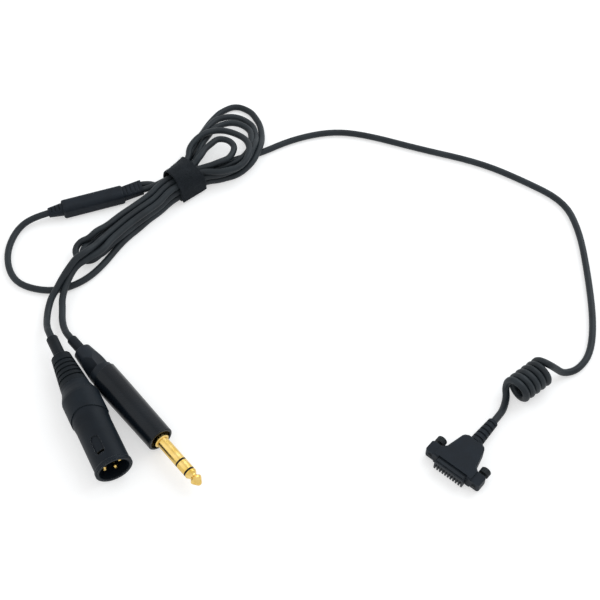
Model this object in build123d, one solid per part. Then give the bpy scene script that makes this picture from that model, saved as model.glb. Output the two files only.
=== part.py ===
from build123d import *
from math import acos, atan2, cos, degrees, pi, radians, sin, sqrt, tan
import os

os.makedirs("parts", exist_ok=True)

# All lengths in mm.  The cable rests on z = 0.
# +X runs along the long way of the set, +Y to the cable's far side, +Z up.

# ---- cable ----
CORD_D = 3.9                    # outside of the round cable
CORD_R = CORD_D / 2
CORD_SIDES = 12                 # the jacket's flats, few enough to keep the solids light
GRIP = 4.0                      # how far a cable end runs into its sleeve
CORE_R = CORD_R                 # cable inside a connector

# ---- wound hank ----
LEVEL = 4.6                     # height between the layers of the hank
STRAP_X, STRAP_Y = -44.4, 94.6  # middle of the strap
STRAP_HEADING = 38.0
HALF = 9.5                      # lanes are parallel this far either side of the strap's middle
LIFT = 1.3                      # the strap's lower layer raises the lanes by this
SPINE_R = 215.0                 # the hank bends gently left of the strap
FOLD_R = 4.0                    # tightest fold
OUTER_FOLD_R = 8.5

# ---- coil beside the headset plug ----
CURL_X, CURL_Y = 139.6, -55.5
CURL_HEADING = 38.3
CURL_R = 6.3                    # axis of coil to middle of cable
CURL_PITCH = 4.4
CURL_TURNS = 4.25

# ---- three-pin connector, measured along its axis from the rear of its boot ----
XLR_X, XLR_Y, XLR_Z = -101.6, -36.2, 10.25
XLR_HEADING = -62.6
XLR_ROLL = 20.0
XLR_LENGTH = 75.8
XLR_R = 10.25
XLR_FRONT_R = 9.5
XLR_BORE_R = 8.05
XLR_BACK_BORE_R = 8.6
XLR_BOOT_LENGTH = 21.0
XLR_BOOT_REAR_R, XLR_BOOT_FRONT_R = 5.4, 7.8
XLR_BOOT_GROOVES = 5
XLR_CHUCK_REAR, XLR_CHUCK_END = XLR_BOOT_LENGTH + 1, XLR_BOOT_LENGTH + 12
XLR_SEAM = XLR_BOOT_LENGTH + 19.0
XLR_SPIGOT_END = XLR_BOOT_LENGTH + 22
XLR_INSERT_REAR = XLR_SPIGOT_END + 3
XLR_INSERT_FRONT = XLR_INSERT_REAR + 12.8
XLR_LATCH = 63.8                # middle of the latch slot
XLR_PIN_R = 1.2
XLR_PIN_CIRCLE_R = 4.45
XLR_PIN_END = XLR_LENGTH - 3
XLR_SLEEVE_LENGTH = 13.8
XLR_SLEEVE_R = 3.15

# ---- 6.35 mm jack, measured along its axis from the rear of its boot ----
JACK_X, JACK_Y, JACK_Z = -91.3, -30.5, 7.75
JACK_HEADING = -49.7
JACK_BOOT_LENGTH = 21.2
JACK_BOOT_REAR_R, JACK_BOOT_FRONT_R = 5.0, 7.0
JACK_SHELL_END = 71.4
JACK_SHELL_REAR_R, JACK_SHELL_FRONT_R = 7.75, 7.2
JACK_SHELL_BORE_R = 6.2
JACK_R = 3.175
JACK_COLLAR_R = 4.1
JACK_FINGER = JACK_SHELL_END + 1.6
JACK_TIP_END = JACK_FINGER + 31.8
JACK_TIP_START = JACK_TIP_END - 8.7
JACK_BAND = 1.1                 # each black band between two contacts
JACK_RING_END = JACK_TIP_START - JACK_BAND
JACK_RING_START = JACK_RING_END - 5.8
JACK_SLEEVE_END = JACK_RING_START - JACK_BAND
JACK_RECESS = JACK_SHELL_END - 3    # floor of the shell's mouth, under the contacts' flange
JACK_CRIMP = JACK_SHELL_END - 19
JACK_CABLE_SLEEVE_LENGTH = 10.0
JACK_CABLE_SLEEVE_R = 2.8

# ---- splitter, measured from its single-cable end ----
SPLIT_X, SPLIT_Y, SPLIT_Z = -122.3, 68.8, 4.8
SPLIT_HEADING = 19.15
SPLIT_RELIEF, SPLIT_BODY, SPLIT_TWIN = 8.5, 37.0, 11.5
SPLIT_WIDTH, SPLIT_HEIGHT = 10.0, 9.0

# ---- headset plug, measured from the cable end of its relief ----
PLUG_X, PLUG_Y, PLUG_Z = 126.45, -72.5, 4.3
PLUG_HEADING = -130.5
PLUG_RELIEF = 16.2
PLUG_HEIGHT = 8.0
PLUG_EAR_REAR, PLUG_EAR_FRONT = 30.2, 37.0
PLUG_EAR_HALF = 16.6
PLUG_FRONT = 39.8
PLUG_SCREW_V = 13.7
CONTACTS = 10
CONTACT_PITCH = 1.65
SCREW_R = 1.2
SCREW_HEAD_R = 2.8
SCREW_HEAD_REAR, SCREW_HEAD_FRONT = 25.3, 28.6
SCREW_END = PLUG_EAR_FRONT + 0.6

CLEAR = 0.05                    # running clearance of a turning fit
LOOSE = 0.1                     # clearance of a part that is pushed in

L0 = CORD_R
L1 = CORD_R + LEVEL
L2 = CORD_R + 2 * LEVEL


# The frame's origin, under the middle of the rigid pieces, in the coordinates used below.
ORIGIN_X, ORIGIN_Y = 2.615, -1.102


def save(name, solid):
    solid = Location((-ORIGIN_X, -ORIGIN_Y, 0)) * solid
    solid.label = name
    export_step(solid, "parts/" + name + ".step")
    return solid


# =====================================================================
# cable routes
# =====================================================================

def unit(v):
    return v * (1 / v.length)


def heading(angle, slope=0.0):
    """Unit vector with this compass angle and this rise per mm of ground."""
    return unit(Vector(cos(radians(angle)), sin(radians(angle)), slope))


def tangents(nodes):
    """Position and direction at each node (x, y, z, angle, slope).

    A node that states no angle takes the direction of the circle through
    it and its two neighbours.
    """
    spots = [Vector(*node[:3]) for node in nodes]
    found = []
    for i, node in enumerate(nodes):
        if len(node) > 3 and node[3] is not None:
            found.append(heading(*node[3:]))
            continue
        back, ahead = spots[i] - spots[i - 1], spots[i + 1] - spots[i]
        t = back * (ahead.length / back.length) + ahead * (back.length / ahead.length)
        if len(node) > 4:
            t = Vector(t.X, t.Y, node[4] * sqrt(t.X ** 2 + t.Y ** 2))
        found.append(unit(t))
    return spots, found


def biarc_edges(spots, directions):
    """Pairs of arcs, tangent to each other, through every spot."""
    edges = []
    for p, u, q, v in zip(spots, directions, spots[1:], directions[1:]):
        w, t, k = q - p, u + v, 2 * (1 - u.dot(v))
        if k < 1e-9:
            reach = w.dot(w) / (4 * w.dot(v))
        else:
            reach = (sqrt(w.dot(t) ** 2 + k * w.dot(w)) - w.dot(t)) / k
        corner, other = p + u * reach, q - v * reach
        middle = (corner + other) * 0.5
        for start, bend, end in ((p, corner, middle), (middle, other, q)):
            edges.append(arc_edge(start, bend, end))
    return edges


def arc_edge(start, bend, end):
    """Arc from start to end whose end tangents meet at bend."""
    chord = (start + end) * 0.5
    rise = bend - chord
    half = (end - start).length / 2
    if rise.length < 1e-4 * half:
        return Line(start, end)
    side = sqrt(half ** 2 + rise.length ** 2)
    height = half * (side - half) / rise.length
    return ThreePointArc(start, chord + unit(rise) * height, end)


def cord_on(edges):
    """Round cable swept along edges that join end to end."""
    wire = Wire([edge.edge() for edge in edges])
    return sweep(Plane(origin=wire @ 0, z_dir=wire % 0) * RegularPolygon(CORD_R, CORD_SIDES), path=wire)


def corner_radii(points):
    """Largest tangent arc at each corner that leaves a little of each run straight."""
    radii = []
    for a, b, c in zip(points, points[1:], points[2:]):
        before, after = Vector(*b) - Vector(*a), Vector(*c) - Vector(*b)
        turn = acos(unit(before).dot(unit(after)))
        radii.append(0.45 * min(before.length, after.length) / tan(turn / 2))
    return radii


def cord_route(points):
    """Round cable on straight runs and tangent arcs; also gives its least radius."""
    radii = corner_radii(points)
    wire = FilletPolyline(*points, radius=radii)
    section = Plane(origin=wire @ 0, z_dir=wire % 0) * RegularPolygon(CORD_R, CORD_SIDES)
    return sweep(section, path=wire), min(radii)


def lane(along, across, z, angle, slope=0.0):
    """Node beside the strap, in the strap's own directions."""
    c, s = cos(radians(STRAP_HEADING)), sin(radians(STRAP_HEADING))
    return (STRAP_X + along * c - across * s, STRAP_Y + along * s + across * c, z, angle, slope)


def strap_pass(across, level, way, across_far, angle_far):
    """Two nodes that carry a lane through the strap; way -1 runs back to the left."""
    z = CORD_R + LEVEL * level + LIFT
    nodes = [lane(-HALF, across, z, STRAP_HEADING), lane(HALF, across_far, z, angle_far)]
    if way > 0:
        return nodes
    return [(x, y, z, angle + 180, slope) for x, y, z, angle, slope in nodes[::-1]]


def left(distance, across, z, turn, slope=0.0):
    """Node on the hank left of the strap, at a distance along its bent spine."""
    start = radians(STRAP_HEADING + 180)
    angle = start + distance / SPINE_R
    x, y = lane(-HALF, 0, 0, 0)[:2]
    centre_x, centre_y = x - SPINE_R * sin(start), y + SPINE_R * cos(start)
    r = SPINE_R + across
    return (centre_x + r * sin(angle), centre_y - r * cos(angle), z, degrees(angle) + turn, slope)


def fold(distance, across, radius, z, way):
    """Half turn at the hank's left end."""
    return [
        left(distance, across + way * radius, z, 0),
        left(distance + radius, across, z, way * 90),
        left(distance, across - way * radius, z, 180),
    ]


# ---- single cable: in from the left, once round the outermost loop,
# ---- a fold on the left, out to the right under that loop
OUT_X, OUT_Y, OUT_HEADING = 6.0, 121.9, 31.0
outer_loop = [
    (-5.6, 106.9, L0, None, 0),
    (-0.2, 118.6, L1 + 0.2, 61, 0),
    (1.2, 131, L0 + 0.5, None, -0.15),
    (-0.6, 143.5, L0, None, 0),
    (-15.4, 158.8, L0),
    (-33, 141, L0, None, 0),
]
main_nodes = [
    left(40, -8.6, L0, 180),
    left(20, -7.9, L0, 180),
    *strap_pass(-6.75, 0, 1, -7.2, 27),
    *outer_loop,
    *strap_pass(2.2, 0, -1, 4.6, 64),
    left(20, 1.9, L0, 0),
    left(40, 2.2, L0, 0),
    *fold(60, 0.2, FOLD_R, L0, 1),
    left(40, -2.8, L0, 180),
    left(20, -3.0, L0, 180),
    *strap_pass(-2.2, 0, 1, -2.5, 32),
    (-26.5, 102.5, L0, 32, 0),
    (-2.3, 117.1, L0, 31, 0),
    (OUT_X, OUT_Y, L0, OUT_HEADING, 0),
]

# ---- the two branch cables: out of the splitter, round the middle loops,
# ---- a fold on the left, round the upper loops, and away over the fold
SPLIT_END = SPLIT_RELIEF + SPLIT_BODY + SPLIT_TWIN
TWIN_GAP = 2.28                 # half the distance between the twin cables
c, s = cos(radians(SPLIT_HEADING)), sin(radians(SPLIT_HEADING))


def twin_spot(along, side):
    return (SPLIT_X + along * c - side * s, SPLIT_Y + along * s + side * c, L1)


XLR_OUT = (-112.7, -2.5, L0 + 1.5)
XLR_OUT_WAY = (269.0, 0.2)      # compass angle and slope
xlr_nodes = [
    (*twin_spot(SPLIT_END - GRIP, -TWIN_GAP), SPLIT_HEADING, 0),
    (*twin_spot(SPLIT_END, -TWIN_GAP), SPLIT_HEADING, 0),
    *strap_pass(2.2, 1, 1, 3.4, 50),
    (-29.4, 127.8, L1),
    (-15.2, 141, L1),
    (-9.5, 127.3, L1),
    (-18, 111.2, L1 + 0.2),
    *strap_pass(-2.4, 1, -1, -2.0, 36),
    left(20, -2.1, L1, 0),
    *fold(66, 0, FOLD_R, L1, -1),
    left(40, 1.9, L1 + 2.0, 180, 0.12),
    left(20, 1.55, L2, 180, 0.03),
    *strap_pass(1.5, 2, 1, 2.6, 48),
    (-31.4, 114.8, L2 + 0.6),
    (-22.5, 124.2, L2),
    (-14, 113, L2),
    (-19.8, 104.3, L2),
    *strap_pass(-2.85, 2, -1, -2.8, 36),
    left(20, -2.9, L2, 0),
    left(48, -2.8, L2, 0),
    left(76, -3.0, L2, 2, -0.1),
    (-110.9, 11.5, L1 + 0.1, 258, -0.12),
    (*XLR_OUT, *XLR_OUT_WAY),
]
JACK_OUT = (-107.2, 0.0, L0 + 0.8)
JACK_OUT_WAY = (267.0, 0.12)
jack_nodes = [
    (*twin_spot(SPLIT_END - GRIP, TWIN_GAP), SPLIT_HEADING, 0),
    (*twin_spot(SPLIT_END, TWIN_GAP), SPLIT_HEADING, 0),
    *strap_pass(7.0, 1, 1, 8.4, 60),
    (-34, 131, L1),
    (-14.8, 146, L1),
    (-4.4, 127.5, L1),
    (-13, 106.8, L1),
    *strap_pass(-6.9, 1, -1, -6.8, 30),
    left(20, -6.8, L1, 0),
    *fold(66, 0, OUTER_FOLD_R, L1, -1),
    left(40, 6.5, L1 + 2.0, 180, 0.12),
    left(20, 6.0, L2, 180, 0.03),
    *strap_pass(6.2, 2, 1, 8.1, 64),
    (-40, 117.6, L2 + 0.8),
    (-22.3, 129.4, L2),
    (-6.6, 113, L2),
    (-14.5, 99.4, L2),
    *strap_pass(-7.45, 2, -1, -7.5, 32),
    left(20, -7.4, L2, 0),
    left(48, -7.4, L2, 0),
    left(76, -8.5, L2, 4, -0.1),
    (-105.4, 12.5, L1 + 0.1, 256, -0.12),
    (*JACK_OUT, *JACK_OUT_WAY),
]

# ---- coil: a helix node at each quarter turn, with a lead at each end ----
CURL_IN = (134.0, -60.0, L0)
CURL_IN_HEADING = 72.0
CURL_OUT = (167.0, -38.7, L0)
CURL_OUT_HEADING = 5.0
along = heading(CURL_HEADING)
sideways = heading(CURL_HEADING - 90)
curl_centre = Vector(CURL_X, CURL_Y, CORD_R + CURL_R)
curl_spots = [Vector(*CURL_IN)]
curl_directions = [heading(CURL_IN_HEADING)]
for quarter in range(int(4 * CURL_TURNS) + 1):
    turn = quarter * pi / 2
    advance = along * (CURL_PITCH * quarter / 4)
    outward = Vector(0, 0, sin(turn)) - sideways * cos(turn)
    curl_spots.append(curl_centre + advance + outward * CURL_R)
    spin = sideways * sin(turn) + Vector(0, 0, cos(turn))
    curl_directions.append(unit(spin * (2 * pi * CURL_R) + along * CURL_PITCH))
curl_spots.append(Vector(*CURL_OUT))
curl_directions.append(heading(CURL_OUT_HEADING))

wound = {
    "cable_hank": biarc_edges(*tangents(main_nodes)),
    "xlr_branch_hank": biarc_edges(*tangents(xlr_nodes)),
    "jack_branch_hank": biarc_edges(*tangents(jack_nodes)),
    "cable_curl": biarc_edges(curl_spots, curl_directions),
}

# ---- free stretches: corners of the route, start to end ----
hank_x, hank_y, _, hank_angle, _ = main_nodes[0]
axis_x, axis_y = cos(radians(XLR_HEADING)), sin(radians(XLR_HEADING))
jack_x, jack_y = cos(radians(JACK_HEADING)), sin(radians(JACK_HEADING))
plug_x, plug_y = cos(radians(PLUG_HEADING)), sin(radians(PLUG_HEADING))


def on_xlr(distance):
    return (XLR_X + axis_x * distance, XLR_Y + axis_y * distance, XLR_Z)


def on_jack(distance):
    return (JACK_X + jack_x * distance, JACK_Y + jack_y * distance, JACK_Z)


def beyond(spot, way, distance):
    """Point straight ahead of a cable's end."""
    ahead = Vector(*spot) + heading(*way) * distance
    return (ahead.X, ahead.Y, ahead.Z)


routes = {
    "cable_run": [
        CURL_OUT,
        (176.5, -37.87, L0),
        (183.5, -25.5, L0),
        (189.0, -3.0, L0),
        (190.0, 28.0, L0),
        (189.5, 58.0, L0),
        (183.5, 80.5, L0),
        (160.5, 97.0, L0),
        (136.0, 111.5, L0),
        (100.0, 122.8, L0),
        (66.0, 135.2, L0),
        (45.0, 137.8, L0),
        (OUT_X + 17.5 * cos(radians(OUT_HEADING)), OUT_Y + 17.5 * sin(radians(OUT_HEADING)), L0),
        (OUT_X, OUT_Y, L0),
    ],
    "cable_loop": [
        (SPLIT_X + GRIP * c, SPLIT_Y + GRIP * s, SPLIT_Z),
        (SPLIT_X - 7 * c, SPLIT_Y - 7 * s, SPLIT_Z),
        (-139.0, 60.0, L0 + 0.6),
        (-143.5, 44.0, L0),
        (-140.5, 28.0, L0),
        (-132.0, 17.2, L0),
        (-116.5, 12.6, L0),
        (-97.5, 17.2, L0),
        (hank_x - 18 * cos(radians(hank_angle)), hank_y - 18 * sin(radians(hank_angle)), L0),
        (hank_x, hank_y, L0),
    ],
    "xlr_branch": [
        XLR_OUT,
        beyond(XLR_OUT, XLR_OUT_WAY, 5.6),
        (-112.6, -14.5, L0 + 5.3),
        on_xlr(-XLR_SLEEVE_LENGTH - 5),
        on_xlr(-XLR_SLEEVE_LENGTH + GRIP),
    ],
    "jack_branch": [
        JACK_OUT,
        beyond(JACK_OUT, JACK_OUT_WAY, 5.0),
        (-105.6, -11.5, L0 + 3.0),
        on_jack(-JACK_CABLE_SLEEVE_LENGTH - 5),
        on_jack(-JACK_CABLE_SLEEVE_LENGTH + GRIP),
    ],
    "cable_tail": [
        (PLUG_X + plug_x * GRIP, PLUG_Y + plug_y * GRIP, PLUG_Z),
        (PLUG_X - plug_x * 3.8, PLUG_Y - plug_y * 3.8, PLUG_Z),
        (CURL_IN[0] - 2.0, CURL_IN[1] - 6.18, L0),
        CURL_IN,
    ],
}

for name, edges in wound.items():
    save(name, cord_on(edges))
    least = min((edge.radius for edge in edges if isinstance(edge, ThreePointArc)), default=0)
    print(name, "least bend radius", round(least, 2))
for name, points in routes.items():
    solid, least = cord_route(points)
    save(name, solid)
    print(name, "least bend radius", round(least, 2))

# ---- least gap between wound cables, measured on points along their middles ----
samples = []
for name, edges in wound.items():
    distance = 0.0
    for edge in edges:
        count = max(2, int(edge.length / 1.2))
        for i in range(count):
            samples.append((name, distance + edge.length * i / count, edge @ (i / count)))
        distance += edge.length
least_gap = 99.0
for i, (name, distance, spot) in enumerate(samples):
    for other, other_distance, other_spot in samples[i + 1:]:
        if name == other and abs(distance - other_distance) < 3 * CORD_D:
            continue
        if abs(spot.Z - other_spot.Z) < 6 and abs(spot.X - other_spot.X) < 6:
            least_gap = min(least_gap, (spot - other_spot).length - CORD_D)
print("least gap between wound cables", round(least_gap, 2))


# =====================================================================
# shared shapes
# =====================================================================

def turned(points):
    """Solid of revolution about Z from (radius, height) corners."""
    return revolve(Plane.XZ * make_face(Polyline(*points, close=True)), Axis.Z)


def rod(radius, low, high):
    return Location((0, 0, (low + high) / 2)) * Cylinder(radius, high - low)


def tube(radius, bore, low, high):
    return rod(radius, low, high) - rod(bore, low - 1, high + 1)


def block(x0, x1, y0, y1, z0, z1):
    middle = ((x0 + x1) / 2, (y0 + y1) / 2, (z0 + z1) / 2)
    return Location(middle) * Box(x1 - x0, y1 - y0, z1 - z0)


def cable_sleeve(length, radius):
    """Shrunk sleeve that grips the cable and enters the boot by 2 mm."""
    sleeve = turned([
        (CORD_R, -length), (radius - 0.3, -length), (radius, -length + 0.5),
        (radius, 2), (CORD_R, 2),
    ])
    return sleeve


# =====================================================================
# three-pin connector (local +Z along its axis, +X towards its latch slot)
# =====================================================================
w = Vector(-axis_y, axis_x, 0)
roll = radians(XLR_ROLL)
xlr_top = Vector(0, 0, cos(roll)) - w * sin(roll)
XLR = Plane(origin=(XLR_X, XLR_Y, XLR_Z), x_dir=xlr_top, z_dir=(axis_x, axis_y, 0)).location

# boot with five ring grooves
boot = turned([
    (XLR_SLEEVE_R, 0), (XLR_BOOT_REAR_R - 0.5, 0), (XLR_BOOT_REAR_R, 0.5),
    (XLR_BOOT_FRONT_R, XLR_BOOT_LENGTH - 0.3), (XLR_BOOT_FRONT_R - 0.3, XLR_BOOT_LENGTH),
    (CORE_R, XLR_BOOT_LENGTH), (CORE_R, 2), (XLR_SLEEVE_R, 2),
])
for i in range(XLR_BOOT_GROOVES):
    z = 5.0 + 3.0 * i
    r = XLR_BOOT_REAR_R + (XLR_BOOT_FRONT_R - XLR_BOOT_REAR_R) * z / XLR_BOOT_LENGTH
    boot -= tube(r + 2, r - 0.75, z, z + 1.1)
save("xlr_boot", XLR * boot)

# bushing and shell share one curved seam
seam_wide = XLR_R + 2
seam_sides = XLR_SEAM + 5.2
curve = ThreePointArc((-seam_wide, seam_sides), (0, XLR_SEAM), (seam_wide, seam_sides))
frame = Polyline(
    (seam_wide, seam_sides), (seam_wide, XLR_LENGTH + 5), (-seam_wide, XLR_LENGTH + 5),
    (-seam_wide, seam_sides),
)
ahead_of_seam = extrude(Plane.YZ * make_face(Curve() + [curve, frame]), XLR_R + 5, both=True)
BUSHING_BORE_R = 6.4
shoulder = XLR_BOOT_LENGTH + 2
bushing_wall = turned([
    (BUSHING_BORE_R, XLR_BOOT_LENGTH), (XLR_BOOT_FRONT_R, XLR_BOOT_LENGTH),
    (XLR_BOOT_FRONT_R + 0.2, shoulder), (XLR_BOOT_FRONT_R + 1.0, shoulder + 2.5),
    (XLR_R - 0.35, shoulder + 5.2), (XLR_R, shoulder + 6.6),
    (XLR_R, seam_sides + 1), (XLR_BACK_BORE_R, seam_sides + 1), (XLR_BACK_BORE_R, XLR_CHUCK_END),
    (BUSHING_BORE_R, XLR_CHUCK_END),
])
bushing_spigot = turned([
    (BUSHING_BORE_R, XLR_CHUCK_END - 1), (XLR_BACK_BORE_R, XLR_CHUCK_END - 1),
    (XLR_BACK_BORE_R, XLR_SEAM - 0.5), (XLR_BACK_BORE_R - LOOSE, XLR_SEAM - 0.5),
    (XLR_BACK_BORE_R - LOOSE, XLR_SPIGOT_END), (BUSHING_BORE_R, XLR_SPIGOT_END),
])
bushing = (bushing_wall - ahead_of_seam) + bushing_spigot
save("xlr_bushing", XLR * bushing)

RIM = 0.45                      # the shell's front rim stands out by this
step_r = XLR_R - 0.4            # the bushing stands a little proud of the shell
shell = turned([
    (XLR_BACK_BORE_R, XLR_SEAM - 1), (step_r, XLR_SEAM - 1), (step_r, XLR_INSERT_REAR - 2),
    (XLR_FRONT_R, XLR_INSERT_REAR + 2), (XLR_FRONT_R, XLR_LENGTH - 2.6),
    (XLR_FRONT_R + RIM, XLR_LENGTH - 1.9), (XLR_FRONT_R + RIM, XLR_LENGTH - 0.4),
    (XLR_FRONT_R + 0.05, XLR_LENGTH), (XLR_BORE_R + 0.3, XLR_LENGTH), (XLR_BORE_R, XLR_LENGTH - 0.3),
    (XLR_BORE_R, XLR_INSERT_REAR), (XLR_BACK_BORE_R, XLR_INSERT_REAR),
])
shell = shell & ahead_of_seam
groove = extrude(Plane.YZ * Location((0, XLR_LATCH)) * SlotOverall(11.6, 5.0, rotation=90), XLR_R + 5)
groove -= rod(XLR_FRONT_R - 0.55, XLR_SPIGOT_END, XLR_LENGTH + 5)
shell -= groove
shell -= block(4, XLR_R + 2, -2.1, 2.1, XLR_LATCH + 3.0, XLR_LATCH + 4.6)
save("xlr_shell", XLR * shell)

# insert, three pins with their solder cups
insert = rod(XLR_BORE_R - CLEAR, XLR_INSERT_REAR, XLR_INSERT_FRONT)
insert += rod(XLR_BACK_BORE_R - LOOSE, XLR_SPIGOT_END, XLR_INSERT_REAR)
pin_spots = [(-XLR_PIN_CIRCLE_R, 0), (0, -XLR_PIN_CIRCLE_R), (0, XLR_PIN_CIRCLE_R)]
for x, y in pin_spots:
    insert -= Location((x, y, 0)) * rod(XLR_PIN_R, XLR_SPIGOT_END - 3, XLR_INSERT_FRONT + 1)
insert -= block(5.4, XLR_R, -1.1, 1.1, XLR_INSERT_FRONT - 3, XLR_INSERT_FRONT + 1)
save("xlr_insert", XLR * insert)

cup = XLR_SPIGOT_END - 7
pin_shape = turned([
    (0, cup), (XLR_PIN_R + 0.35, cup), (XLR_PIN_R + 0.35, XLR_SPIGOT_END), (XLR_PIN_R, XLR_SPIGOT_END),
    (XLR_PIN_R, XLR_PIN_END - 0.9), (XLR_PIN_R * 0.55, XLR_PIN_END), (0, XLR_PIN_END),
])
pin_shape -= rod(0.85, cup - 1, cup + 5)
pin_shape -= block(-3, 3, 0.1, 3, cup - 1, cup + 4)
for i, (x, y) in enumerate(pin_spots):
    outward = degrees(atan2(y, x)) + 90
    save(f"xlr_pin_{i + 1}", XLR * Location((x, y, 0), (0, 0, 1), outward) * pin_shape)

# split chuck that grips the cable inside the bushing
chuck_r = BUSHING_BORE_R - LOOSE
chuck = turned([
    (CORE_R, XLR_CHUCK_REAR), (5.2, XLR_CHUCK_REAR), (chuck_r, XLR_CHUCK_REAR + 3),
    (chuck_r, XLR_CHUCK_END), (3.2, XLR_CHUCK_END), (CORE_R, XLR_CHUCK_END - 2),
])
for i in range(4):
    slit = block(3.4, XLR_R, -0.5, 0.5, XLR_CHUCK_REAR - 1, XLR_CHUCK_END - 3)
    chuck -= Location((0, 0, 0), (0, 0, 1), 45 + 90 * i) * slit
save("xlr_chuck", XLR * chuck)
save("xlr_cable_core", XLR * rod(CORE_R, -XLR_SLEEVE_LENGTH + GRIP, XLR_CHUCK_END + 1))
save("xlr_cable_sleeve", XLR * cable_sleeve(XLR_SLEEVE_LENGTH, XLR_SLEEVE_R))

# =====================================================================
# jack (local +Z along its axis, +X up)
# =====================================================================
JACK = Plane(origin=(JACK_X, JACK_Y, JACK_Z), x_dir=(0, 0, 1), z_dir=(jack_x, jack_y, 0)).location

# boot and shell meet on a plane that leans
lean = 12.0
behind = Location((0, 0, JACK_BOOT_LENGTH), (1, 0, 0), lean) * block(-20, 20, -20, 20, -60, 0)
boot = turned([
    (JACK_CABLE_SLEEVE_R, 0), (JACK_BOOT_REAR_R - 0.6, 0), (JACK_BOOT_REAR_R, 0.6),
    (JACK_BOOT_FRONT_R, JACK_BOOT_LENGTH - 3), (JACK_BOOT_FRONT_R, JACK_BOOT_LENGTH + 4),
    (CORE_R, JACK_BOOT_LENGTH + 4), (CORE_R, 2), (JACK_CABLE_SLEEVE_R, 2),
])
boot = boot & behind
for side in (-1, 1):
    facet = Location((4.9, side * 4.6, 3), (0, 0, 1), side * 43) * Location((0, 0, 0), (0, 1, 0), -14)
    boot -= facet * block(0, 12, -12, 12, -12, 14)
boot += tube(JACK_SHELL_BORE_R - LOOSE, CORE_R, JACK_BOOT_LENGTH - 2, JACK_BOOT_LENGTH + 6)
save("jack_boot", JACK * boot)

JACK_NOSE_R = 5.2               # bore that holds the contacts' stem
shell = turned([
    (JACK_SHELL_BORE_R, JACK_BOOT_LENGTH - 4), (JACK_SHELL_REAR_R, JACK_BOOT_LENGTH - 4),
    (JACK_SHELL_REAR_R, JACK_BOOT_LENGTH + 12), (JACK_SHELL_FRONT_R, JACK_SHELL_END - 0.4),
    (JACK_SHELL_FRONT_R - 0.4, JACK_SHELL_END), (5.9, JACK_SHELL_END), (5.8, JACK_RECESS),
    (JACK_NOSE_R, JACK_RECESS), (JACK_NOSE_R, JACK_SHELL_END - 10),
    (JACK_SHELL_BORE_R, JACK_SHELL_END - 11),
])
save("jack_shell", JACK * (shell - behind))

# contacts: nested tubes, each with its own band on the finger
stem_r = JACK_NOSE_R - CLEAR
sleeve = turned([
    (2.6, JACK_CRIMP), (stem_r, JACK_CRIMP), (stem_r, JACK_RECESS), (5.7, JACK_RECESS),
    (5.7, JACK_RECESS + 0.5), (JACK_COLLAR_R, JACK_RECESS + 0.6), (JACK_COLLAR_R, JACK_FINGER - 0.5),
    (JACK_COLLAR_R - 0.4, JACK_FINGER), (JACK_R, JACK_FINGER), (JACK_R, JACK_SLEEVE_END),
    (2.6, JACK_SLEEVE_END),
])
save("jack_sleeve", JACK * sleeve)
ring_insulator = turned([
    (2.1, JACK_CRIMP - 2), (2.6, JACK_CRIMP - 2), (2.6, JACK_SLEEVE_END),
    (JACK_R - 0.05, JACK_SLEEVE_END), (JACK_R - 0.05, JACK_RING_START), (2.1, JACK_RING_START),
])
save("jack_ring_insulator", JACK * ring_insulator)
ring = turned([
    (1.5, JACK_CRIMP - 5), (2.1, JACK_CRIMP - 5), (2.1, JACK_RING_START), (JACK_R, JACK_RING_START),
    (JACK_R, JACK_RING_END), (1.5, JACK_RING_END),
])
save("jack_ring", JACK * ring)
tip_insulator = turned([
    (0.9, JACK_CRIMP - 7), (1.5, JACK_CRIMP - 7), (1.5, JACK_RING_END), (JACK_R - 0.05, JACK_RING_END),
    (JACK_R - 0.05, JACK_TIP_START), (0.9, JACK_TIP_START),
])
save("jack_tip_insulator", JACK * tip_insulator)
tip = turned([
    (0, JACK_CRIMP - 10), (0.9, JACK_CRIMP - 10), (0.9, JACK_TIP_START), (JACK_R, JACK_TIP_START),
    (JACK_R, JACK_TIP_START + 0.7), (2.9, JACK_TIP_START + 1.3), (2.1, JACK_TIP_START + 2.5),
    (2.0, JACK_TIP_START + 3.0), (2.2, JACK_TIP_START + 3.5), (JACK_R - 0.15, JACK_TIP_START + 4.5),
    (JACK_R, JACK_TIP_START + 4.9), (2.9, JACK_TIP_START + 5.6), (1.3, JACK_TIP_END - 0.6),
    (0.7, JACK_TIP_END - 0.15), (0, JACK_TIP_END),
])
save("jack_tip", JACK * tip)

# crimp clamp that carries the cable's screen to the sleeve contact
grip_rear = JACK_BOOT_LENGTH + 10
clamp = tube(5.0, 4.4, JACK_CRIMP - 2, JACK_CRIMP)
clamp += block(-5.0, -4.4, -1.6, 1.6, grip_rear + 2, JACK_CRIMP - 1.5)
clamp += tube(CORE_R + 0.6, CORE_R, grip_rear, grip_rear + 5)
clamp += block(-4.6, -CORE_R - 0.4, -0.8, 0.8, grip_rear + 2, grip_rear + 5)
save("jack_cable_clamp", JACK * clamp)
save("jack_cable_core", JACK * rod(CORE_R, -JACK_CABLE_SLEEVE_LENGTH + GRIP, grip_rear + 6))
save("jack_cable_sleeve", JACK * cable_sleeve(JACK_CABLE_SLEEVE_LENGTH, JACK_CABLE_SLEEVE_R))

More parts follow.
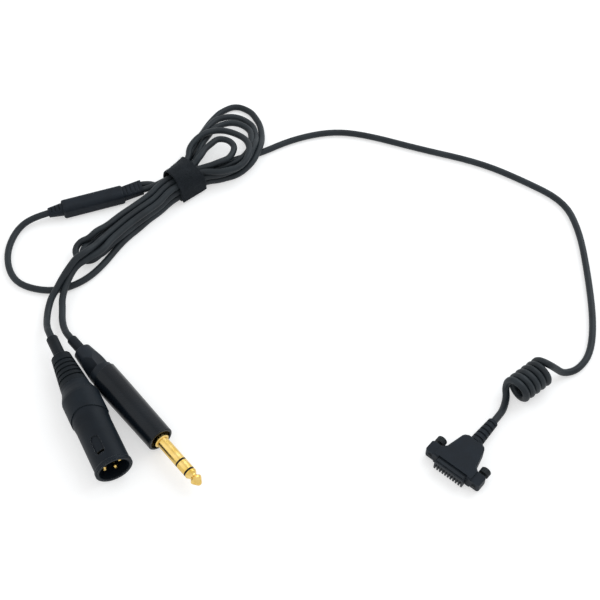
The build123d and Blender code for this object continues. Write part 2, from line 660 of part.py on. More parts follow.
# =====================================================================
# splitter (local +X from the single cable to the twin cables)
# =====================================================================
SPLIT = Location((SPLIT_X, SPLIT_Y, 0), (0, 0, 1), SPLIT_HEADING)
half = SPLIT_WIDTH / 2
body_end = SPLIT_RELIEF + SPLIT_BODY
body = block(SPLIT_RELIEF, body_end, -half, half, 0, SPLIT_HEIGHT)
body = fillet(body.edges().filter_by(Axis.X), 2.8)
body = fillet(body.faces().sort_by(Axis.X)[-1].edges(), 1.4)
body = fillet(body.faces().sort_by(Axis.X)[0].edges(), 1.4)
body -= Location((0, 0, SPLIT_Z), (0, 1, 0), 90) * rod(CORD_R, SPLIT_RELIEF - 1, SPLIT_RELIEF + 6)
save("splitter_body", SPLIT * body)

relief = Location((0, 0, SPLIT_Z), (0, 1, 0), 90) * turned([
    (CORD_R, 0), (2.5, 0), (2.9, 0.4), (3.9, SPLIT_RELIEF), (CORD_R, SPLIT_RELIEF),
])
for i in range(3):
    x = 1.7 + 2.3 * i
    relief -= block(x, x + 0.9, -5, 5, SPLIT_Z + 1.9 + 0.25 * i, 10)
    relief -= block(x, x + 0.9, -5, 5, -1, SPLIT_Z - 1.9 - 0.25 * i)
relief -= Location((0, 0, SPLIT_Z), (0, 1, 0), 90) * rod(CORD_R, -1, SPLIT_RELIEF + 1)
save("splitter_relief_main", SPLIT * relief)

rear = Plane(origin=(body_end, 0, SPLIT_Z), x_dir=(0, 1, 0), z_dir=(1, 0, 0))
front = Plane(origin=(SPLIT_END, 0, L1), x_dir=(0, 1, 0), z_dir=(1, 0, 0))
relief = loft([rear * RectangleRounded(8.6, 7.0, 2.6), front * RectangleRounded(9.9, 5.2, 2.2)])
for i in range(4):
    x = body_end + 1.4 + 2.5 * i
    middle = SPLIT_Z + (L1 - SPLIT_Z) * (x - body_end) / SPLIT_TWIN
    deep = 2.75 - 0.12 * i
    relief -= block(x, x + 1.0, -6, 6, middle + deep, 14)
    relief -= block(x, x + 1.0, -6, 6, -3, middle - deep)
for side in (-TWIN_GAP, TWIN_GAP):
    socket = Location((SPLIT_END - GRIP, side, L1), (0, 1, 0), 90) * rod(CORD_R, 0, GRIP + 1)
    relief -= socket
save("splitter_relief_branches", SPLIT * relief)

# =====================================================================
# strap: a band round the hank, its end laid over itself
# =====================================================================
STRAP_T = 1.2
STRAP_HALF = 8.6
STRAP = Plane(
    origin=(STRAP_X, STRAP_Y, 0),
    x_dir=(-sin(radians(STRAP_HEADING)), cos(radians(STRAP_HEADING)), 0),
    z_dir=(cos(radians(STRAP_HEADING)), sin(radians(STRAP_HEADING)), 0),
)
top = L2 + LIFT + CORD_R + 0.05
inner = make_face(Polyline(
    (-10.5, LIFT), (5.4, LIFT), (10.0, 6.4), (9.6, top), (-9.5, top), (-10.5, 5), close=True,
))
inner = fillet(inner.vertices(), 1.9)
outer = offset(inner, STRAP_T)
flap = offset(outer, STRAP_T) - outer
flap &= Location((-8, 12)) * Rectangle(32, 21)
band = extrude(STRAP * (outer - inner), STRAP_HALF, both=True)
band += extrude(STRAP * flap, STRAP_HALF - 0.25, both=True)
save("cable_strap", band)

# =====================================================================
# headset plug (local +X towards its contacts, +Y towards the camera-side screw)
# =====================================================================
PLUG = Plane(origin=(PLUG_X, PLUG_Y, 0), x_dir=(plug_x, plug_y, 0), z_dir=(0, 0, 1)).location
along_plug = Location((0, 0, PLUG_Z), (0, 1, 0), 90)
BLOCK_HALF = 8.8                # half the width of the contact block

relief = along_plug * turned([
    (CORD_R, 0), (2.5, 0), (2.8, 0.4), (3.6, PLUG_RELIEF), (CORD_R, PLUG_RELIEF),
])
for i in range(5):
    x = 1.8 + 2.9 * i
    ring_r = 2.2 + 0.13 * i
    relief -= along_plug * tube(6, ring_r, x, x + 1.0)
save("headset_plug_relief", PLUG * relief)

waist = PLUG_EAR_REAR - 2
outline = [
    (PLUG_RELIEF, 4.2), (PLUG_RELIEF + 1.0, 6.0), (PLUG_RELIEF + 2.2, 6.8), (waist, 9.1),
    (waist + 0.9, 9.9), (PLUG_EAR_REAR, 11.0), (PLUG_EAR_REAR, PLUG_EAR_HALF - 0.8),
    (PLUG_EAR_REAR + 0.8, PLUG_EAR_HALF), (PLUG_EAR_FRONT - 0.8, PLUG_EAR_HALF),
    (PLUG_EAR_FRONT, PLUG_EAR_HALF - 0.8),
]
mirrored = [(x, -y) for x, y in outline[::-1]]
body = extrude(make_face(Polyline(*outline, *mirrored, close=True)), PLUG_HEIGHT)
body = Location((0, 0, 0.3)) * body
body = chamfer(body.faces().sort_by(Axis.Z)[-1].edges(), 0.8)
ears = block(PLUG_EAR_REAR - 0.6, PLUG_EAR_FRONT + 1, 11.2, 20, 7.2, 9)
ears += block(PLUG_EAR_REAR - 0.6, PLUG_EAR_FRONT + 1, 11.2, 20, -1, 1.4)
body -= ears
body -= mirror(ears, Plane.XZ)
body -= block(PLUG_EAR_FRONT - 1, PLUG_EAR_FRONT + 1, -BLOCK_HALF, BLOCK_HALF, -1, 9)
for side in (-1, 1):
    body -= Location((0, side * PLUG_SCREW_V, PLUG_Z), (0, 1, 0), 90) * rod(SCREW_R + CLEAR, 20, 45)
body -= along_plug * rod(CORD_R, PLUG_RELIEF - 1, PLUG_RELIEF + 5)
save("headset_plug_body", PLUG * body)

# block with a slot for each contact spring, open to the front and below
contact_block = block(PLUG_EAR_FRONT - 1, PLUG_FRONT, -BLOCK_HALF, BLOCK_HALF, 0.6, 7.2)
contact_block = fillet(contact_block.edges().filter_by(Axis.X), 0.5)
ridge = block(PLUG_EAR_FRONT + 0.3, PLUG_FRONT - 1.0, -BLOCK_HALF + 0.7, BLOCK_HALF - 0.7, 7.2, 7.7)
contact_block += ridge
contacts = block(PLUG_FRONT - 2.2, PLUG_FRONT - 1.8, -BLOCK_HALF + 0.7, BLOCK_HALF - 0.7, 1.6, 2.4)
for i in range(CONTACTS):
    y = (i - (CONTACTS - 1) / 2) * CONTACT_PITCH
    contact_block -= block(PLUG_FRONT - 2.2, PLUG_FRONT + 1, y - 0.42, y + 0.42, 0, 5.4)
    contacts += block(PLUG_FRONT - 2.2, PLUG_FRONT - 0.7, y - 0.3, y + 0.3, 1.6, 2.4)
contact_block -= block(PLUG_FRONT - 2.2, PLUG_FRONT - 1.7, -BLOCK_HALF + 0.65, BLOCK_HALF - 0.65, 0, 2.5)
save("headset_contact_block", PLUG * contact_block)
save("headset_contacts", PLUG * contacts)

# captive thumbscrews: knurled slotted head, shank, thread beyond the ear
screw = turned([
    (0, SCREW_HEAD_REAR), (SCREW_HEAD_R - 0.4, SCREW_HEAD_REAR), (SCREW_HEAD_R, SCREW_HEAD_REAR + 0.4),
    (SCREW_HEAD_R, SCREW_HEAD_FRONT), (SCREW_R, SCREW_HEAD_FRONT), (SCREW_R, SCREW_END - 0.5),
    (SCREW_R - 0.4, SCREW_END), (0, SCREW_END),
])
screw -= block(-0.45, 0.45, -4, 4, SCREW_HEAD_REAR - 1, SCREW_HEAD_REAR + 1.0)
for i in range(16):
    screw -= Location((0, 0, 0), (0, 0, 1), 22.5 * i) * Location((SCREW_HEAD_R, 0, 0)) * rod(
        0.22, SCREW_HEAD_REAR + 0.5, SCREW_HEAD_FRONT + 1)
for side, name in ((1, "headset_screw_near"), (-1, "headset_screw_far")):
    place = Location((0, side * PLUG_SCREW_V, PLUG_Z), (0, 1, 0), 90)
    save(name, PLUG * place * screw)
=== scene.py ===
from math import cos, degrees, pi, radians, sin, sqrt

import bmesh
import bpy
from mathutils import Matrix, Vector


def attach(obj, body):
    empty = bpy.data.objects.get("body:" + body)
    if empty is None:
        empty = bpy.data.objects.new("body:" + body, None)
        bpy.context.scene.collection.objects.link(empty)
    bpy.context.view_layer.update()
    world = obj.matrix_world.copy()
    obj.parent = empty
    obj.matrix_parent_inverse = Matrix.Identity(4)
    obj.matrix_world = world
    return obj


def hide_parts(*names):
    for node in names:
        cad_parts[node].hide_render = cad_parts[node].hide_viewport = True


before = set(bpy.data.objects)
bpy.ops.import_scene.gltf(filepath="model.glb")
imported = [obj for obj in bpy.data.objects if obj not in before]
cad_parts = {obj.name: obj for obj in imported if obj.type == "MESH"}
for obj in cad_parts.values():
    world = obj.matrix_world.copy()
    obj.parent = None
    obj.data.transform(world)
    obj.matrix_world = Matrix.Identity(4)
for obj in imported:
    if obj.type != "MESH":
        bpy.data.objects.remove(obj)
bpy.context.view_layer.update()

# ---------------------------------------------------------------------------
# Camera and studio.  The set lies on an opal light table and is seen from above
# its near edge.  A white surround and two soft lamps light it, one behind the
# set and one at its left.
# ---------------------------------------------------------------------------
scene = bpy.context.scene
scene.view_settings.view_transform = "Standard"

camera = bpy.data.objects.new("camera", bpy.data.cameras.new("camera"))
scene.collection.objects.link(camera)
camera.data.sensor_width = 36
camera.data.lens = 70.94
camera.data.clip_start = 0.01
camera.location = (0.023385, -0.381095, 0.5383)
aim = Vector((0.023385, 0.010005, 0))
camera.rotation_euler = (aim - camera.location).to_track_quat("-Z", "Y").to_euler()
scene.camera = camera


def linear(code):
    """The linear colour of an sRGB hex value."""
    channels = [int(code[i:i + 2], 16) / 255 for i in (1, 3, 5)]
    return [c / 12.92 if c <= 0.04045 else ((c + 0.055) / 1.055) ** 2.4 for c in channels] + [1.0]


def node(tree, kind, inputs=None, **settings):
    """Adds a node with its settings; an input is a value or another node's output."""
    made = tree.nodes.new(kind)
    for name, value in settings.items():
        setattr(made, name, value)
    for name, value in (inputs or {}).items():
        if isinstance(value, bpy.types.NodeSocket):
            tree.links.new(value, made.inputs[name])
        else:
            made.inputs[name].default_value = value
    return made


# white where it is seen, and a little dimmer as a light
SURROUND_LIT, SURROUND_SEEN = 0.72, 1.0
world = bpy.data.worlds.new("white surround")
scene.world = world
world.use_nodes = True
tree = world.node_tree
rays = node(tree, "ShaderNodeLightPath")
through = node(tree, "ShaderNodeMath", {
    0: rays.outputs["Is Camera Ray"], 1: rays.outputs["Is Transmission Ray"],
}, operation="MAXIMUM")
seen = node(tree, "ShaderNodeMath", {
    0: through.outputs[0], 1: rays.outputs["Is Glossy Ray"],
}, operation="MAXIMUM")
dim = node(tree, "ShaderNodeMix", {
    "Factor": seen.outputs[0], "A": SURROUND_LIT, "B": SURROUND_SEEN,
})
tree.nodes["Background"].inputs["Color"].default_value = (1, 1, 1, 1)
tree.links.new(dim.outputs["Result"], tree.nodes["Background"].inputs["Strength"])

COOL_WHITE = (0.88, 0.95, 1.0)
for name, place, size, watts in (
    ("lamp behind right", (0.7, 0.6, 0.9), 1.0, 7.0),
    ("lamp left", (-0.9, -0.1, 0.9), 1.2, 1.5),
):
    lamp = bpy.data.objects.new(name, bpy.data.lights.new(name, "AREA"))
    lamp.data.size = size
    lamp.data.energy = watts
    lamp.data.color = COOL_WHITE
    lamp.location = place
    lamp.rotation_euler = (-lamp.location).to_track_quat("-Z", "Y").to_euler()
    scene.collection.objects.link(lamp)

# the table: opal acrylic lit from below, which keeps only a faint soft shadow
TABLE_HALF = 2.5
TABLE_GLOW = 0.5
corners = [(x * TABLE_HALF, y * TABLE_HALF, 0) for x, y in ((-1, -1), (1, -1), (1, 1), (-1, 1))]
table = bpy.data.meshes.new("table")
table.from_pydata(corners, [], [(0, 1, 2, 3)])
table = bpy.data.objects.new("table", table)
scene.collection.objects.link(table)
board = bpy.data.materials.new("Opal acrylic light table")
board.use_nodes = True
tree = board.node_tree
shader = tree.nodes["Principled BSDF"]
shader.inputs["Base Color"].default_value = linear("#cfcfcf")
shader.inputs["Emission Color"].default_value = (1, 1, 1, 1)
shader.inputs["Emission Strength"].default_value = TABLE_GLOW
shader.inputs["Roughness"].default_value = 0.9
shader.inputs["Specular IOR Level"].default_value = 0.1
table.data.materials.append(board)

# ---------------------------------------------------------------------------
# Main cable.  A round PVC jacket, 3.9 mm outside, from the splitter round the
# outermost loop of the hank and through the short coil to the headset plug.
# It is soft, lies on the table under its own weight, and is 1.16 m long.
# ---------------------------------------------------------------------------
CORD_D = 3.9
CORD_R = CORD_D / 2
GRIP = 4.0              # how far a cable's end runs into its sleeve
LEVEL = 4.6             # height between the layers of the hank
L0, L1, L2 = CORD_R, CORD_R + LEVEL, CORD_R + 2 * LEVEL
STRAP_X, STRAP_Y, STRAP_HEADING = -44.4, 94.6, 38.0
HALF = 9.5              # a cable's points stand this far either side of the strap's middle
SPINE_R = 215.0         # the hank bends gently left of the strap
FOLD_R = 4.0            # the main cable's fold at the hank's left end
ORIGIN = Vector((2.615, -1.102, 0))     # the frame's origin, where the routes are laid out


def heading(angle, slope=0.0):
    """Direction at this angle from +X, with this rise per mm of ground."""
    return Vector((cos(radians(angle)), sin(radians(angle)), slope)).normalized()


def lane(along, across, z, angle, slope=0.0):
    """Point of a cable beside the strap: its place in the strap's directions, and its way."""
    c, s = cos(radians(STRAP_HEADING)), sin(radians(STRAP_HEADING))
    return (STRAP_X + along * c - across * s, STRAP_Y + along * s + across * c, z, angle, slope)


def strap_pass(across, z, way, across_far, z_far, angle_far):
    """A cable's points left and right of the strap; way -1 runs it back to the left."""
    points = [lane(-HALF, across, z, STRAP_HEADING), lane(HALF, across_far, z_far, angle_far)]
    if way > 0:
        return points
    return [(x, y, z, angle + 180, slope) for x, y, z, angle, slope in points[::-1]]


def left(distance, across, z, turn, slope=0.0):
    """Point at a distance along the hank's bent spine; turn 180 heads for the strap."""
    start = radians(STRAP_HEADING + 180)
    angle = start + distance / SPINE_R
    x, y = lane(-HALF, 0, 0, 0)[:2]
    centre_x, centre_y = x - SPINE_R * sin(start), y + SPINE_R * cos(start)
    r = SPINE_R + across
    return (centre_x + r * sin(angle), centre_y - r * cos(angle), z, degrees(angle) + turn, slope)


def fold(distance, across, radius, z, way):
    """Half turn at the hank's left end, from far to near; way -1 turns from near to far."""
    return [
        left(distance, across + way * radius, z, 0),
        left(distance + radius, across, z, way * 90),
        left(distance, across - way * radius, z, 180),
    ]


PARALLEL = 1e-9


def lead(nodes):
    """Control points of a smooth cable through these points.

    A point is a place, or a place with a heading and a slope.  One without them is
    passed in the direction of its neighbours, the nearer of which counts for more.
    """
    spots = [Vector(point[:3]) for point in nodes]
    ways = []
    for i, point in enumerate(nodes):
        if len(point) > 3:
            ways.append(heading(*point[3:]))
            continue
        back, ahead = spots[i] - spots[i - 1], spots[i + 1] - spots[i]
        way = back * (ahead.length / back.length) + ahead * (back.length / ahead.length)
        ways.append(way.normalized())
    # two arcs join each pair of points, and the corner of each lies this reach from its point
    control = []
    for p, u, q, v in zip(spots, ways, spots[1:], ways[1:]):
        gap, both, spread = q - p, u + v, 2 * (1 - u.dot(v))
        if spread < PARALLEL:
            reach = gap.dot(gap) / (4 * gap.dot(v))
        else:
            reach = (sqrt(gap.dot(both) ** 2 + spread * gap.dot(gap)) - gap.dot(both)) / spread
        control += [p + u * reach, q - v * reach]
    return control


def cable(name, points):
    """Round cable along a smooth line with these control points, in mm."""
    curve = bpy.data.curves.new(name, "CURVE")
    curve.dimensions = "3D"
    line = curve.splines.new("NURBS")
    line.points.add(len(points) - 1)
    for target, point in zip(line.points, points):
        target.co = (*((Vector(point) - ORIGIN) / 1000), 1)
        # a curve's bounds take in its points' radius: that is the real one, and the bevel is 1
        target.radius = CORD_R / 1000
    line.order_u = 3
    line.use_endpoint_u = True
    line.resolution_u = 5
    curve.resolution_u = 5
    curve.bevel_depth = 1.0
    curve.bevel_resolution = 4
    curve.use_fill_caps = True
    made = bpy.data.objects.new(name, curve)
    scene.collection.objects.link(made)
    return made


def run_length(made):
    """Length in metres of a cable's own line."""
    bevel, made.data.bevel_depth = made.data.bevel_depth, 0
    bpy.context.view_layer.update()
    depsgraph = bpy.context.evaluated_depsgraph_get()
    line = bpy.data.meshes.new_from_object(made.evaluated_get(depsgraph))
    made.data.bevel_depth = bevel
    spots = [v.co for v in line.vertices]
    total = sum((b - a).length for a, b in zip(spots, spots[1:]))
    bpy.data.meshes.remove(line)
    return total


SPLIT_X, SPLIT_Y, SPLIT_Z, SPLIT_HEADING, SPLIT_LENGTH = -122.3, 68.8, 4.8, 19.15, 57.0
split_way = heading(SPLIT_HEADING)
split_side = heading(SPLIT_HEADING + 90)
split_start = Vector((SPLIT_X, SPLIT_Y, SPLIT_Z))

# from the splitter a wide turn runs round to the hank's near side
hank_start = left(36, -10.6, L0, 180)
hank_way = heading(hank_start[3])
SPLIT_LEAD, HANK_LEAD, OUT_LEAD = 7.0, 10.0, 17.5   # how far the line runs straight at each
loop_left = [
    split_start + split_way * GRIP,
    split_start - split_way * SPLIT_LEAD,
    (-139.0, 60.0, L0 + 0.6),
    (-143.5, 44.0, L0),
    (-140.5, 28.0, L0),
    (-132.0, 17.2, L0),
    (-113.5, 13.0, L0),
    (-98.6, 19.0, L0),
    (-88.0, 30.0, L0),
    Vector(hank_start[:3]) - hank_way * HANK_LEAD,
]
OUT, OUT_HEADING = (6.0, 121.9, L0), 31.0
hank = lead([
    # through the strap and round the outermost loop
    hank_start,
    left(20, -9.6, L0, 180),
    *strap_pass(-8.2, 3.2, 1, -8.0, 3.1, 25),
    (-21.2, 98.0, L0),
    (-11.6, 102.0, 2.2),
    (-4.0, 108.4, 4.4),
    (0.9, 119.0, 6.0),
    (2.2, 132.0, 3.0),
    (-0.9, 147.0, L0),
    (-6.8, 155.6, L0),
    (-14.7, 159.0, L0),
    (-23.2, 155.0, L0),
    (-29.4, 147.0, L0),
    (-34.2, 137.5, L0),
    (-38.2, 125.0, L0),
    # back through the strap to the fold at the left end
    *strap_pass(0.6, 3.2, -1, 4.3, 3.1, 64),
    left(20, -0.8, L0, 0),
    left(40, -1.6, L0, 0),
    *fold(60, -3.4, FOLD_R, L0, 1),
    # and through it once more, under the loops and out of the hank
    left(40, -6.1, L0, 180),
    left(20, -5.2, L0, 180),
    *strap_pass(-3.8, 3.2, 1, -4.0, 3.1, 34),
    (-27.6, 104.4, L0, 31, 0),
    (-15.7, 113.0, L0, 26, 0),
    (*OUT, OUT_HEADING, 0),
])
long_arc = [
    Vector(OUT) + heading(OUT_HEADING) * OUT_LEAD,
    (45.0, 137.8, L0),
    (66.0, 135.2, L0),
    (100.0, 122.8, L0),
    (136.0, 111.5, L0),
    (160.5, 97.0, L0),
    (183.5, 80.5, L0),
    (189.5, 58.0, L0),
    (190.0, 28.0, L0),
    (188.6, -6.0, L0),
    (184.0, -28.0, L0),
]

# the short coil: a helix, laid out from the plug's side, while the cable comes from the other
CURL_X, CURL_Y, CURL_HEADING = 139.1, -55.9, 38.3
CURL_R, CURL_PITCH, CURL_TURNS = 6.2, 3.97, 5.25
STEPS = 12              # control points to a turn
curl_along = heading(CURL_HEADING)
curl_side = heading(CURL_HEADING - 90)
curl_centre = Vector((CURL_X, CURL_Y, CORD_R + CURL_R))
wide = CURL_R / cos(pi / STEPS)         # they stand a little outside the line that they bend
coil = []
for i in range(int(CURL_TURNS * STEPS)):
    turn = (i + 0.5) * 2 * pi / STEPS
    advance = curl_along * (CURL_PITCH * (i + 0.5) / STEPS)
    rise = Vector((0, 0, wide * sin(turn)))
    coil.append(curl_centre + advance - curl_side * (wide * cos(turn)) + rise)

CURL_IN, CURL_IN_HEADING, EASE = Vector((134.0, -60.0, L0)), 72.0, 4.2
coil_start = curl_centre - curl_side * CURL_R
rising = (Vector((0, 0, 2 * pi * CURL_R)) + curl_along * CURL_PITCH).normalized()
lead_in = [CURL_IN + heading(CURL_IN_HEADING) * EASE, coil_start - rising * EASE]
lead_out = [(157.4, -43.6, 14.2), (162.0, -42.2, 8.4), (167.4, -41.4, L0), (175.8, -38.8, L0)]

PLUG_X, PLUG_Y, PLUG_Z, PLUG_HEADING = 126.45, -72.5, 4.3, -130.5
plug_way = heading(PLUG_HEADING)
plug_start = Vector((PLUG_X, PLUG_Y, PLUG_Z))
tail = [
    (133.2, -62.6, L0),
    (130.6, -67.6, 3.8),
    plug_start + plug_way * GRIP,
]
main_cable = cable(
    "main_cable",
    [*loop_left, *hank, *long_arc, *lead_out[::-1], *coil[::-1], *lead_in[::-1], *tail],
)

# PVC: dark blue-grey and matt; clouds 11 mm wide vary it, and the skin of an extruded
# jacket shows as a faint grain 0.6 mm apart
jacket = bpy.data.materials.new("Extruded PVC jacket")
jacket.use_nodes = True
tree = jacket.node_tree
shader = tree.nodes["Principled BSDF"]
spot = node(tree, "ShaderNodeTexCoord").outputs["Object"]
cloudy = node(tree, "ShaderNodeTexNoise", {"Vector": spot, "Scale": 90.0, "Detail": 4.0})
tone = node(tree, "ShaderNodeValToRGB", {"Fac": cloudy.outputs["Fac"]})
tone.color_ramp.elements[0].position = 0.35
tone.color_ramp.elements[0].color = linear("#191f24")
tone.color_ramp.elements[1].position = 0.7
tone.color_ramp.elements[1].color = linear("#242b30")
grain = node(tree, "ShaderNodeTexNoise", {"Vector": spot, "Scale": 1600.0, "Detail": 3.0})
bump = node(tree, "ShaderNodeBump", {
    "Height": grain.outputs["Fac"], "Strength": 0.35, "Distance": 0.0002,
})
tree.links.new(tone.outputs["Color"], shader.inputs["Base Color"])
tree.links.new(bump.outputs["Normal"], shader.inputs["Normal"])
shader.inputs["Roughness"].default_value = 0.5
shader.inputs["Specular IOR Level"].default_value = 0.25
main_cable.data.materials.append(jacket)
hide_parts("cable_loop", "cable_hank", "cable_run", "cable_curl", "cable_tail")
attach(main_cable, "cable_set")
run_length(main_cable)

# ---------------------------------------------------------------------------
# Two branch cables.  The same jacket, 0.56 and 0.62 m long; they leave the
# splitter side by side, pass twice round the hank's inner loops and end in the
# sleeves of the two audio plugs.
# ---------------------------------------------------------------------------
TWIN_GAP = 2.28         # from the middle of the splitter to the middle of each cable
SLEEVE_LEAD = 2.0       # a cable is straight this far before its sleeve


def twin(distance, side):
    """Point on one of the twin cables in the splitter's relief."""
    return Vector((SPLIT_X, SPLIT_Y, L1)) + split_way * distance + split_side * side


XLR_X, XLR_Y, XLR_Z, XLR_HEADING = -101.6, -36.2, 10.25, -62.6
XLR_SLEEVE = 13.8
xlr_way = heading(XLR_HEADING)
xlr_start = Vector((XLR_X, XLR_Y, XLR_Z))
xlr_cable = cable("xlr_branch_cable", [
    twin(SPLIT_LENGTH - GRIP, -TWIN_GAP),
    *lead([
        # the first round of the hank
        (*twin(SPLIT_LENGTH, -TWIN_GAP), SPLIT_HEADING, 0),
        *strap_pass(4.6, 7.1, 1, 5.4, 7.0, 54),
        (-32.0, 127.4, L1),
        (-25.8, 137.6, 6.0),
        (-15.5, 141.4, 5.6),
        (-6.8, 136.8, 5.6),
        (-3.9, 125.6, 6.8),
        (-8.2, 111.5, 7.6),
        (-20.0, 103.4, 7.2),
        *strap_pass(-3.6, 7.2, -1, -2.2, 6.5, 32),
        left(20, -5.3, 6.0, 0),
        left(40, -5.5, 6.1, 0),
        *fold(66.0, -2.0, 3.4, 5.9, -1),
        # the second, which is the innermost loop
        left(40, -1.1, 6.1, 180),
        left(20, -1.0, 6.0, 180, 0.05),
        *strap_pass(0.4, 7.2, 1, 2.2, 9.8, 50),
        (-35.0, 106.6, 11.4),
        (-30.0, 116.0, 11.4),
        (-22.0, 122.4, L2),
        (-15.2, 118.4, L2),
        (-16.0, 108.2, 11.3),
        (-24.5, 102.2, 11.4),
        *strap_pass(-3.0, 11.2, -1, -2.4, 10.2, 22),
        left(20, -5.6, 10.1, 0),
        left(40, -5.6, 10.3, 0),
        left(52, -5.8, 10.6, 0),
        left(62, -6.2, 11.6, 0),
        # over the left end and down to the plug
        (-94.8, 33.4, 13.2),
        (-99.9, 28.6, 13.0),
        (-103.6, 23.2, 11.6),
        (-107.4, 16.8, 9.2),
        (-110.2, 10.7, 7.3),
        (-112.5, 6.1, 5.6),
        (-113.7, 0.4, 4.2),
        (-113.7, -6.3, 4.2),
        (-112.1, -14.4, 7.0),
        (*(xlr_start - xlr_way * (XLR_SLEEVE + SLEEVE_LEAD)), XLR_HEADING, 0),
    ]),
    xlr_start - xlr_way * (XLR_SLEEVE - GRIP),
])
xlr_cable.data.materials.append(jacket)
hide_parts("xlr_branch_hank", "xlr_branch")
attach(xlr_cable, "cable_set")
run_length(xlr_cable)

JACK_X, JACK_Y, JACK_Z, JACK_HEADING = -91.3, -30.5, 7.75, -49.7
JACK_SLEEVE = 10.0
jack_way = heading(JACK_HEADING)
jack_start = Vector((JACK_X, JACK_Y, JACK_Z))
jack_cable = cable("jack_branch_cable", [
    twin(SPLIT_LENGTH - GRIP, TWIN_GAP),
    *lead([
        # the first round of the hank
        (*twin(SPLIT_LENGTH, TWIN_GAP), SPLIT_HEADING, 0),
        *strap_pass(5.2, 3.2, 1, 10.9, 4.0, 66),
        (-38.6, 122.0, 5.8),
        (-32.2, 136.0, 6.0),
        (-24.6, 145.2, 5.4),
        (-15.2, 147.6, 4.6),
        (-5.8, 143.2, 3.4),
        (-1.4, 131.4, 4.2),
        (-2.6, 118.0, 8.4),
        (-8.6, 105.8, 7.0),
        (-19.5, 98.4, 6.6),
        *strap_pass(-7.7, 7.2, -1, -7.8, 7.0, 26),
        left(20, -9.6, 6.0, 0),
        left(40, -9.8, 6.1, 0),
        left(66.5, -8.9, 5.6, 0),
        left(73.2, -1.75, 5.2, -90),
        # the second
        left(66.5, 5.4, 6.6, 180, 0.2),
        left(58.5, 1.3, 10.0, 180, 0.1),
        left(44.7, -0.9, 10.2, 180),
        left(20, -1.4, 10.1, 180, 0.05),
        *strap_pass(1.0, 11.2, 1, 9.2, 8.2, 64),
        (-40.6, 117.4, 10.0),
        (-33.5, 126.5, 11.0),
        (-23.6, 130.2, 10.6),
        (-13.8, 127.6, 10.4),
        (-6.0, 119.4, 11.4),
        (-5.2, 109.5, 11.4),
        (-9.8, 101.0, 10.8),
        (-19.4, 96.6, 10.6),
        *strap_pass(-7.0, 11.2, -1, -5.9, 10.3, 18),
        left(20, -9.9, 10.1, 0),
        left(40, -9.8, 10.2, 0),
        left(52, -9.9, 10.2, 0),
        # down to the plug
        (-87.6, 36.0, 10.2),
        (-95.0, 30.2, 9.9),
        (-100.3, 26.0, 8.8),
        (-102.8, 21.6, 7.9),
        (-104.5, 16.4, 7.2),
        (-105.8, 11.3, 6.4),
        (-106.5, 5.6, 5.0),
        (-106.1, -0.2, 3.6),
        (-105.3, -7.0, 3.4),
        (-102.9, -14.6, 5.2),
        (*(jack_start - jack_way * (JACK_SLEEVE + SLEEVE_LEAD)), JACK_HEADING, 0),
    ]),
    jack_start - jack_way * (JACK_SLEEVE - GRIP),
])
jack_cable.data.materials.append(jacket)
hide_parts("jack_branch_hank", "jack_branch")
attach(jack_cable, "cable_set")
run_length(jack_cable)

# ---------------------------------------------------------------------------
# Strap.  A hook-and-loop tie, 17 mm wide and about 1 mm thick, woven from
# nylon with a pile of fine loops outside.  It goes once round the hank and
# grips itself on the near side, where its end lies over its start.
# ---------------------------------------------------------------------------
STRAP_HALF, STRAP_T = 8.6, 1.1
ACROSS = 22             # faces across the tape
ALONG = 0.6             # and their length along it
CORNER = 4.4            # a bend starts this far before its corner,
MOST = 0.45             # or this share of the way back to the one before, if that is nearer
WAVE, WAVE_RATE = 0.12, 0.55    # height of the waves in the cut edges, and radians per mm
EDGE_R = 0.2            # rounding of the tape's edges


def bends(corners, reach, steps=7):
    """Points of a line that rounds these corners, each from this reach before it."""
    corners = [Vector(corner) for corner in corners]
    points = [corners[0]]
    for before, corner, after in zip(corners, corners[1:], corners[2:]):
        start = corner.lerp(before, min(reach / (corner - before).length, MOST))
        end = corner.lerp(after, min(reach / (after - corner).length, MOST))
        for i in range(steps + 1):
            t = i / steps
            points.append(start * (1 - t) ** 2 + corner * (2 * t * (1 - t)) + end * t ** 2)
    return points + [corners[-1]]


def evenly(points, step):
    """The same line with its points this far apart, and each one's distance along it."""
    even, run, travelled = [(points[0], 0.0)], 0.0, 0.0
    for a, b in zip(points, points[1:]):
        length = (b - a).length
        while length and run + step <= travelled + length:
            run += step
            even.append((a.lerp(b, (run - travelled) / length), run))
        travelled += length
    return even


# its line seen along the hank: each corner's place across it and height at the left edge,
# then the same at the right
turn_round = bends([
    (-9.9, 10.0, -10.5, 8.5), (-11.1, 0.85, -10.5, 0.85), (5.6, 0.85, 12.4, 0.85),
    (8.0, 4.2, 13.8, 4.6), (7.3, 10.0, 12.2, 9.6), (3.4, 16.2, 4.0, 12.8),
    (-5.6, 17.1, -8.4, 12.9), (-10.6, 12.6, -11.6, 10.4), (-12.4, 1.6, -11.7, 1.6),
], CORNER)
# two edges in one vector make its lengths sqrt(2) times the tape's
profile = [(spot, distance / sqrt(2)) for spot, distance in evenly(turn_round, ALONG * sqrt(2))]
lane_way = heading(STRAP_HEADING)
lane_side = heading(STRAP_HEADING + 90)

